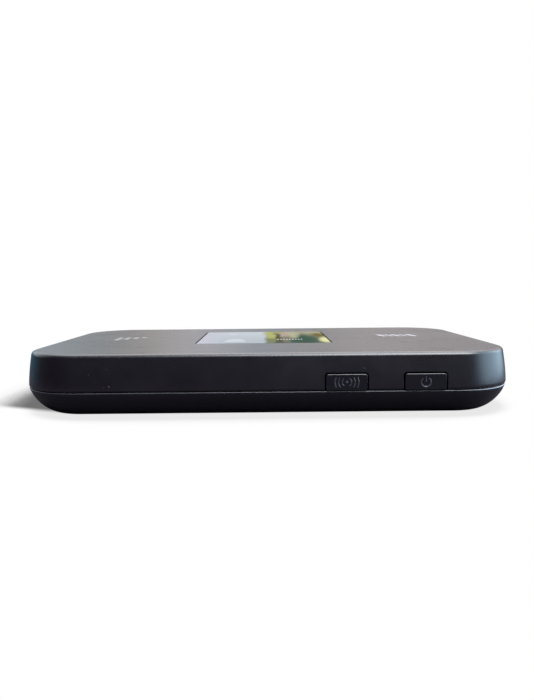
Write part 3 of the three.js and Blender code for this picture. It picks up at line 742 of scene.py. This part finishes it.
REAR_WALL = 1.3
RIM_DROP = {"wps": 0.04, "power": 0.13}  # how far the rim is cut down under each button
BUTTON_ROOM = (-31.4, -28.5)  # from y to y, where the lip is cut away behind a button
RIM_CUT = (-33.0, -31.25)  # from y to y, where the rim is cut down under a button
USB_ROOM = (28.5, 31.5)  # from y to y, where the lip is cut away at the charging socket
RIB_SPAN = (20, 47)  # from x to x


def room(mid, half, y_span, z_span, r):
    """A block that is centred on mid along x, to be cut away."""
    return box_shape((mid - half, y_span[0], z_span[0]), (mid + half, y_span[1], z_span[1]), r)


def rear_cover():
    """The lower shell: a tray with a lip that reaches up into the top cover, tabs, ribs and a notch."""
    floor_z = 1.2
    low_heights = [BELLY_Z * (1 - math.sin(math.radians(a))) for a in range(90, 8, -4)]
    outer = [(wall_inset(max(z, 0.0)), max(z, 0.0)) for z in low_heights if z < SPLIT - 0.35]
    outer += [(wall_inset(z), z) for z in (SPLIT - 0.24, SPLIT - 0.2)]
    edge = wall_inset(SPLIT)
    rim = [(edge + 0.02, SPLIT - 0.17), (edge + 0.07, SPLIT - 0.1), (edge + 0.14, SPLIT - 0.045)]
    rim += [(edge + 0.22, SPLIT - 0.01), (edge + 0.28, SPLIT)]
    lip = [(REAR_WALL, SPLIT), (1.35, SPLIT - 0.05), (1.35, 4.65), (1.75, 4.65), (1.75, 6.82), (1.83, 6.9)]
    lip += [(2.37, 6.9), (2.45, 6.82), (2.45, 4.0)]
    inner = [(REAR_WALL + wall_inset(z), z) for z in (3.5, 2.8, 2.2, 1.8, 1.5)]
    inner.append((REAR_WALL + wall_inset(floor_z) + 0.1, floor_z))
    rings = [body_ring(inset, z) for inset, z in outer + rim + lip + inner]
    shell = object_from("rear_shell", skin(rings))
    cuts = []
    for name, drop in RIM_DROP.items():
        low, high = box_mm(f"{name}_button")
        mid = (low[0] + high[0]) / 2
        cuts.append(room(mid, 6.2, BUTTON_ROOM, (SPLIT - 0.15, 8), 0.2))
        cuts.append(room(mid, 4.25, RIM_CUT, (SPLIT - drop, SPLIT + 0.4), 0.1))
    cuts.append(room(0, 4.6, USB_ROOM, (SPLIT + 0.6, 8), 0.2))
    cuts.append(pry_notch())
    boolean(shell, cuts)
    ribs = []
    for y in range(-20, 21, 10):
        rib_low, rib_high = (RIB_SPAN[0], y - 0.45, floor_z - 0.2), (RIB_SPAN[1], y + 0.45, floor_z + 0.7)
        ribs.append(box_shape(rib_low, rib_high, 0.2))
    tabs = [at_wall(spot, 5.0, 1.3, 2.2, 6.2, 6.8) for spot in TABS]
    boolean(shell, ribs + tabs, "UNION")
    finish_piece(shell, rear_plastic, "rear_cover")
    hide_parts("rear_cover")


def pry_notch():
    """The fingernail slot in the rear cover's edge, with scooped ends."""
    rings = []
    for x in (-LENGTH / 2 - 1, -LENGTH / 2 + 1.45):
        rings.append([(x, y, z) for y, z in rounded_outline(0, SPLIT, 4.5, 0.8, 0.75)])
    return skin(rings)


# ---------------------------------------------------------------- buttons

CAP_FACE = WIDTH / 2 + 0.07  # the caps' faces stand this far from the middle
CAP_EDGE_R = 0.16
ICON_HEIGHT = 0.08
ICON_LINE = 0.3


def button_cap(name):
    """One push button, from the pin that meets its switch, over a flange, out to its eased face."""
    node = f"{name}_button"
    low, high = box_mm(node)
    mid = (low[0] + high[0]) / 2
    mid_z = (BUTTON_LOW + BUTTON_TOP) / 2
    half_z = (BUTTON_TOP - BUTTON_LOW) / 2

    def ring(y, hx, hz, r, lift=0.0):
        return [(x, y, z) for x, z in rounded_outline(mid, mid_z + lift, hx, hz, r, 8)]

    wall = -WIDTH / 2
    rings = [
        ring(wall + 3.1, 0.85, 0.85, 0.85),
        ring(wall + 3.05, 0.9, 0.9, 0.9),
        ring(wall + 2.45, 0.9, 0.9, 0.9),
        ring(wall + 2.45, 5.15, 2.0, 0.3, 0.35),
        ring(wall + 2.4, 5.2, 2.05, 0.3, 0.35),
        ring(wall + 1.95, 5.2, 2.05, 0.3, 0.35),
        ring(wall + 1.95, 4.2, 1.6, 0.3),
        ring(wall + 1.2, 4.2, 1.6, 0.3),
        ring(wall + 1.2, BUTTON_HALF, half_z, BUTTON_R),
    ]
    for angle in (0, 15, 30, 45, 60, 75, 90):
        a = math.radians(angle)
        back, pull = CAP_EDGE_R * (1 - math.sin(a)), CAP_EDGE_R * (1 - math.cos(a))
        rings.append(ring(-CAP_FACE + back, BUTTON_HALF - pull, half_z - pull, max(BUTTON_R - pull, 0.1)))
    cap = object_from(f"{name}_cap", skin(rings))
    finish_piece(cap, button_plastic, node)
    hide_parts(node)


def ridge(points, width, height):
    """A raised line with rounded shoulders along x and z points on a button's face."""
    half = width / 2
    section = [(-half, -0.05), (-half, 0.3 * height)]
    section += [(-0.75 * half, 0.8 * height), (-0.35 * half, height)]
    section += [(-x, h) for x, h in reversed(section)]
    count = len(points)
    rings = []
    for i, (x, z) in enumerate(points):
        before = points[i - 1] if i else points[i]
        after = points[i + 1] if i < count - 1 else points[i]
        along = Vector((after[0] - before[0], after[1] - before[1])).normalized()
        side = (-along.y, along.x)
        rings.append([(x + side[0] * s, -CAP_FACE - h, z + side[1] * s) for s, h in section])
    return skin(rings)


def arc(cx, cz, r, start, end, steps=18):
    """Points along an arc between two angles in degrees."""
    angles = [math.radians(start + (end - start) * i / steps) for i in range(steps + 1)]
    return [(cx + r * math.cos(a), cz + r * math.sin(a)) for a in angles]


def button_icons():
    """Raised signs: the usual power sign on the right button, and radio waves on the left one."""
    mid_z = (BUTTON_LOW + BUTTON_TOP) / 2
    low, high = box_mm("power_button")
    x = (low[0] + high[0]) / 2
    shapes = [ridge(arc(x, mid_z - 0.1, 1.0, 125, 415, 40), ICON_LINE, ICON_HEIGHT)]
    shapes.append(ridge([(x, mid_z - 0.05), (x, mid_z + 0.5), (x, mid_z + 1.15)], ICON_LINE, ICON_HEIGHT))
    icon = object_from("power_sign", joined(shapes))
    finish_piece(icon, icon_highlight_plastic, "power_button", weighted=False)
    low, high = box_mm("wps_button")
    x = (low[0] + high[0]) / 2
    shapes = [ridge(arc(x, mid_z, 0.14, 0, 340, 16), 0.26, ICON_HEIGHT)]
    for r, spread in ((0.95, 52), (1.7, 36), (2.45, 26)):
        for facing in (0, 180):
            shapes.append(ridge(arc(x, mid_z, r, facing - spread, facing + spread), ICON_LINE, ICON_HEIGHT))
    icon = object_from("wireless_sign", joined(shapes))
    finish_piece(icon, icon_highlight_plastic, "wps_button", weighted=False)


# ---------------------------------------------------------------- screen and printed marks

WINDOW_EDGE_R = 0.16


def screen_window():
    """The window, which carries the lit picture, with an eased upper rim."""
    bottom, top = LENS_LOW[2], LENS_HIGH[2]
    rings = [lens_ring(-0.05, bottom), lens_ring(0, bottom + 0.05), lens_ring(0, top - WINDOW_EDGE_R)]
    for angle in (20, 45, 70, 90):
        a = math.radians(angle)
        pull, drop = WINDOW_EDGE_R * (1 - math.cos(a)), WINDOW_EDGE_R * (1 - math.sin(a))
        rings.append(lens_ring(-pull, top - drop))
    window = object_from("screen_window", skin(rings))
    finish_piece(window, screen_material, "main_unit")
    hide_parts("screen_lens")


def flat_plate(points):
    """A printed patch on the top face, from an outline of x and y points."""
    return skin([[(x, y, z) for x, y in points] for z in (TOP_Z - 0.02, HEIGHT)])


def slanted(x0, x1, y0, y1, wide):
    """A printed stroke from (x0, y0) to (x1, y1) whose ends run along x."""
    half = wide / 2
    return flat_plate([(x0 - half, y0), (x0 + half, y0), (x1 + half, y1), (x1 - half, y1)])


def printed_marks():
    """Generic pale signs on the top face: rising bars on the left, plain strokes on the right."""
    shapes = []
    for i, length in enumerate((2.2, 3.9, 5.6, 7.4)):
        x, y = -32.7 - 2.05 * i, 5.2 - length / 2
        shapes.append(flat_plate(rounded_outline(x, y, 0.6, length / 2, 0.2, 3)))
    marks = object_from("left_mark", joined(shapes))
    finish_piece(marks, print_material, "main_unit", weighted=False)
    shapes = []
    for x, wide in ((31.2, 1.2), (33.2, 0.7), (35.1, 1.1), (37.0, 0.7), (39.1, 1.3)):
        shapes.append(slanted(x, x - 1.2, 2.2, 7.0, wide))
    marks = object_from("right_mark", joined(shapes))
    finish_piece(marks, print_material, "main_unit", weighted=False)


# ---------------------------------------------------------------- inside


def battery_skin():
    """The battery's wrapped body, rounded along its length and drawn in at its ends."""
    low, high = box_mm("battery_cell")
    mid_y, mid_z = (low[1] + high[1]) / 2, (low[2] + high[2]) / 2
    half_y, half_z = (high[1] - low[1]) / 2, (high[2] - low[2]) / 2

    def ring(x, grow):
        outline = rounded_outline(mid_y, mid_z, half_y + grow, half_z + grow, 1.0 + grow, 8)
        return [(x, y, z) for y, z in outline]

    levels = [(low[0], -0.5), (low[0] + 0.15, -0.15), (low[0] + 0.5, 0.0)]
    levels += [(high[0] - 0.2, 0.0), (high[0], -0.1)]
    cell = object_from("battery_body", skin([ring(x, grow) for x, grow in levels]))
    finish_piece(cell, wrap, "battery")
    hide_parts("battery_cell")


CAD_LOOKS = {
    foam: ["cover_foam_pad", "lens_adhesive", "lcd_gasket"],
    frame_plastic: ["inner_frame", "battery_end_cap", "reset_plunger"],
    steel: [
        "lcd_tray", "wps_switch", "power_switch", "baseband_shield", "radio_shield", "usb_shell",
        "sim_socket", "reset_switch",
    ],
    black_steel: [f"screw_{i}" for i in range(1, 7)],
    chip_material: [
        "wps_plunger", "power_plunger", "baseband_processor", "memory_chip", "power_chip",
        "radio_transceiver", "wifi_chip", "usb_tongue",
    ],
    ivory: ["screen_connector", "battery_connector"],
    board_material: ["circuit_board"],
    amber: ["lcd_flex", "main_antenna", "second_antenna", "wifi_antenna"],
    gold: [f"battery_pad_{i}" for i in range(1, 5)]
    + [f"contact_spring_{i}" for i in range(1, 5)]
    + ["main_antenna_spring", "second_antenna_spring", "wifi_antenna_spring"],
    guide: ["lcd_backlight"],
    screen_material: ["lcd_glass"],
    paper: ["rating_label"],
    card_material: ["sim_card"],
}
# Widths of the eased edges, in millimetres.
EASED = {
    "inner_frame": 0.12, "battery_end_cap": 0.2, "battery_connector": 0.12, "sim_socket": 0.06,
    "baseband_shield": 0.08, "radio_shield": 0.08, "lcd_tray": 0.08, "cover_foam_pad": 0.06,
    "sim_card": 0.06, "usb_tongue": 0.06,
}


def dress_frame():
    """Procedural materials for the CAD nodes that stay, and eased edges where they can be seen."""
    for material, nodes in CAD_LOOKS.items():
        for node in nodes:
            obj = frame["nodes"][node]
            obj.data.materials.clear()
            obj.data.materials.append(material)
    for node, width in EASED.items():
        modifier = frame["nodes"][node].modifiers.new("eased", "BEVEL")
        modifier.width = width * MM
        modifier.segments = 2
        modifier.limit_method = "ANGLE"
        modifier.angle_limit = math.radians(50)
        modifier.harden_normals = False


# ---------------------------------------------------------------- stage

CAMERA_AT = (-0.303, -148.11, 28.31)
CAMERA_TURN = (-0.111, -6.861, 0.533)  # yaw, pitch, roll in degrees
CAMERA_SENSOR = 36.0
CAMERA_LENS = 29.4017


def camera():
    """A close, low camera in front of the buttons' side, as the object is seen across a table."""
    data = bpy.data.cameras.new("camera")
    data.sensor_width = CAMERA_SENSOR
    data.lens = CAMERA_LENS
    data.clip_start, data.clip_end = 0.01, 20.0
    obj = bpy.data.objects.new("camera", data)
    bpy.context.scene.collection.objects.link(obj)
    yaw, pitch, roll = (math.radians(a) for a in CAMERA_TURN)
    turn = Matrix.Rotation(yaw, 4, "Z") @ Matrix.Rotation(pitch, 4, "X") @ Matrix.Rotation(roll, 4, "Y")
    turn = turn @ Matrix.Rotation(math.pi / 2, 4, "X")
    obj.matrix_world = Matrix.Translation(Vector(CAMERA_AT) * MM) @ turn
    bpy.context.scene.camera = obj


FLOOR_HALF = 3.0  # metres
SHADOW_REACH = 22.0  # millimetres of floor that the object's soft shadow darkens
FLOOR_BOUNCE = (0.055, 0.05, 0.06)  # the floor's colour as the object reflects it


def floor():
    """A pale floor. The camera sees it white with a soft shadow, deep at the left end and faint
    elsewhere. Reflections see it dark close to the object and clear further out, so that the underside
    stays dark as it does on a real table."""
    mesh = bpy.data.meshes.new("floor")
    half = FLOOR_HALF
    corners = [(-half, -half, 0), (half, -half, 0), (half, half, 0), (-half, half, 0)]
    mesh.from_pydata(corners, [], [(0, 1, 2, 3)])
    obj = bpy.data.objects.new("floor", mesh)
    bpy.context.scene.collection.objects.link(obj)
    g = Graph("floor")
    nodes, links = g.tree.nodes, g.tree.links
    out = nodes["Material Output"]
    nodes.remove(g.shader)
    shelter = g.add("ShaderNodeAmbientOcclusion", samples=16)
    shelter.inputs["Distance"].default_value = SHADOW_REACH * MM
    # The deep shadow lies beyond the left end, behind a slanting line and short of the far corner.
    at_left = g.smooth(g.x, -41.0, -47.0)
    lean = g.math("MULTIPLY_ADD", g.math("ADD", g.x, 55.0), 0.41, g.y)
    between = g.math("MULTIPLY", g.smooth(lean, -22.3, -18.3), g.smooth(g.y, 26.0, 12.0))
    deep = g.smooth(shelter.outputs["AO"], 0.761, 0.908, 0.17, 1.0)
    faint = g.smooth(shelter.outputs["AO"], 0.45, 0.70, 0.80, 1.0)
    share = g.math("MULTIPLY", at_left, between)
    elsewhere = g.math("MULTIPLY", faint, g.math("SUBTRACT", 1.0, share))
    level = g.math("ADD", g.math("MULTIPLY", deep, share), elsewhere)
    level = g.math("MULTIPLY", level, g.smooth(g.noise(0.03, 3), 0.0, 0.2, 0.985, 1.0))
    seen = g.add("ShaderNodeEmission")
    g.put(seen.inputs["Strength"], level)
    dark = g.add("ShaderNodeBsdfDiffuse")
    dark.inputs["Color"].default_value = (*FLOOR_BOUNCE, 1)
    far = g.math("SQRT", g.math("ADD", g.math("POWER", g.x, 2.0), g.math("POWER", g.y, 2.0)))
    clear = g.add("ShaderNodeBsdfTransparent")
    bounced = g.add("ShaderNodeMixShader")
    g.put(bounced.inputs[0], g.smooth(far, 110.0, 170.0))
    links.new(dark.outputs[0], bounced.inputs[1])
    links.new(clear.outputs[0], bounced.inputs[2])
    path = g.add("ShaderNodeLightPath")
    pick = g.add("ShaderNodeMixShader")
    links.new(path.outputs["Is Camera Ray"], pick.inputs[0])
    links.new(bounced.outputs[0], pick.inputs[1])
    links.new(seen.outputs[0], pick.inputs[2])
    links.new(pick.outputs[0], out.inputs["Surface"])
    mesh.materials.append(g.material)


# Soft boxes round the object: direction, full and vanishing half-angle in degrees, radiance.
SOFT_BOXES = [
    ((0.30, -0.47, 0.83), 8, 29, (15.5, 16.2, 17.0)),
    ((0.08, 0.30, 0.94), 12, 44, (4.4, 4.4, 4.6)),
    ((1.0, -0.02, 0.20), 18, 48, (3.0, 4.2, 5.2)),
    ((-0.95, 0.75, 0.05), 12, 40, (0.06, 0.22, 0.34)),
]
# The bright wall behind the object, above a darker strip: sideways part of the direction and radiance.
BACK_WALL = [
    (-0.36, (1.44, 1.54, 1.58)),
    (-0.26, (1.14, 1.22, 1.26)),
    (-0.20, (1.52, 1.38, 1.26)),
    (-0.155, (2.04, 1.90, 1.92)),
    (-0.10, (2.04, 2.04, 2.18)),
    (0.0, (1.24, 1.42, 1.58)),
    (0.07, (1.44, 1.40, 1.37)),
    (0.17, (1.80, 1.64, 1.62)),
    (0.35, (1.46, 1.38, 1.40)),
]
BACK_WALL_TOP = 2.5  # the colour ramp holds shares of this
FRONT_LEFT, FRONT_RIGHT = (0.035, 0.035, 0.06), (0.09, 0.10, 0.155)  # the dim room behind the camera
LOW_STRIP = (0.05, 0.05, 0.05)
STRIP_TOP, WALL_FOOT = 0.12, 0.24  # heights, as sines of the elevation, between strip and wall
ROOM_SPAN = (-0.45, 0.3)  # the sideways part of the direction, from the room's left to its right
ROOM_TO_WALL = (-0.25, 0.45)  # the forward part of the direction, from the dim room to the wall


def world():
    """Light from the surroundings alone: soft boxes, a bright wall behind and a dim room in front."""
    made = bpy.data.worlds.new("world")
    bpy.context.scene.world = made
    made.use_nodes = True
    tree = made.node_tree
    nodes, links = tree.nodes, tree.links
    background = nodes["Background"]
    coords = nodes.new("ShaderNodeTexCoord").outputs["Generated"]

    def ramp(value, low, high, out_low, out_high):
        """A colour that passes smoothly from out_low at low to out_high at high."""
        step = nodes.new("ShaderNodeMapRange")
        step.interpolation_type = "SMOOTHSTEP"
        step.inputs["From Min"].default_value = low
        step.inputs["From Max"].default_value = high
        links.new(value, step.inputs["Value"])
        mix = nodes.new("ShaderNodeMix")
        mix.data_type = "RGBA"
        links.new(step.outputs["Result"], mix.inputs[0])
        for socket, color in ((mix.inputs[6], out_low), (mix.inputs[7], out_high)):
            if isinstance(color, bpy.types.NodeSocket):
                links.new(color, socket)
            else:
                socket.default_value = (*color, 1)
        return mix.outputs[2]

    axes = nodes.new("ShaderNodeSeparateXYZ")
    links.new(coords, axes.inputs[0])
    spread = nodes.new("ShaderNodeMath")
    spread.operation = "ADD"
    links.new(axes.outputs["X"], spread.inputs[0])
    spread.inputs[1].default_value = 0.5
    tones = nodes.new("ShaderNodeValToRGB")
    links.new(spread.outputs[0], tones.inputs["Fac"])
    stops = tones.color_ramp.elements
    while len(stops) < len(BACK_WALL):
        stops.new(0.5)
    for stop, (sideways, color) in zip(stops, BACK_WALL):
        stop.position = sideways + 0.5
        stop.color = (*[c / BACK_WALL_TOP for c in color], 1)
    lift = nodes.new("ShaderNodeVectorMath")
    lift.operation = "SCALE"
    links.new(tones.outputs["Color"], lift.inputs[0])
    lift.inputs["Scale"].default_value = BACK_WALL_TOP
    wall = ramp(axes.outputs["Z"], STRIP_TOP, WALL_FOOT, LOW_STRIP, lift.outputs[0])
    front = ramp(axes.outputs["X"], *ROOM_SPAN, FRONT_LEFT, FRONT_RIGHT)
    total = ramp(axes.outputs["Y"], *ROOM_TO_WALL, front, wall)
    for direction, full, gone, color in SOFT_BOXES:
        dot = nodes.new("ShaderNodeVectorMath")
        dot.operation = "DOT_PRODUCT"
        links.new(coords, dot.inputs[0])
        dot.inputs[1].default_value = Vector(direction).normalized()
        ends = (math.cos(math.radians(gone)), math.cos(math.radians(full)))
        box = ramp(dot.outputs["Value"], *ends, (0, 0, 0), color)
        plus = nodes.new("ShaderNodeVectorMath")
        plus.operation = "ADD"
        links.new(box, plus.inputs[0])
        links.new(total, plus.inputs[1])
        total = plus.outputs[0]
    path = nodes.new("ShaderNodeLightPath")
    pick = nodes.new("ShaderNodeMix")
    pick.data_type = "RGBA"
    links.new(path.outputs["Is Camera Ray"], pick.inputs[0])
    links.new(total, pick.inputs[6])
    pick.inputs[7].default_value = (1, 1, 1, 1)
    links.new(pick.outputs[2], background.inputs["Color"])


def color_view():
    """Plain colours, with no film look."""
    settings = bpy.context.scene.view_settings
    settings.view_transform = "Standard"
    settings.look = "None"
    settings.exposure = 0.0
    settings.gamma = 1.0


top_cover()
screw_bosses()
rear_cover()
for button in ("wps", "power"):
    button_cap(button)
button_icons()
screen_window()
printed_marks()
battery_skin()
dress_frame()
camera()
floor()
world()
color_view()
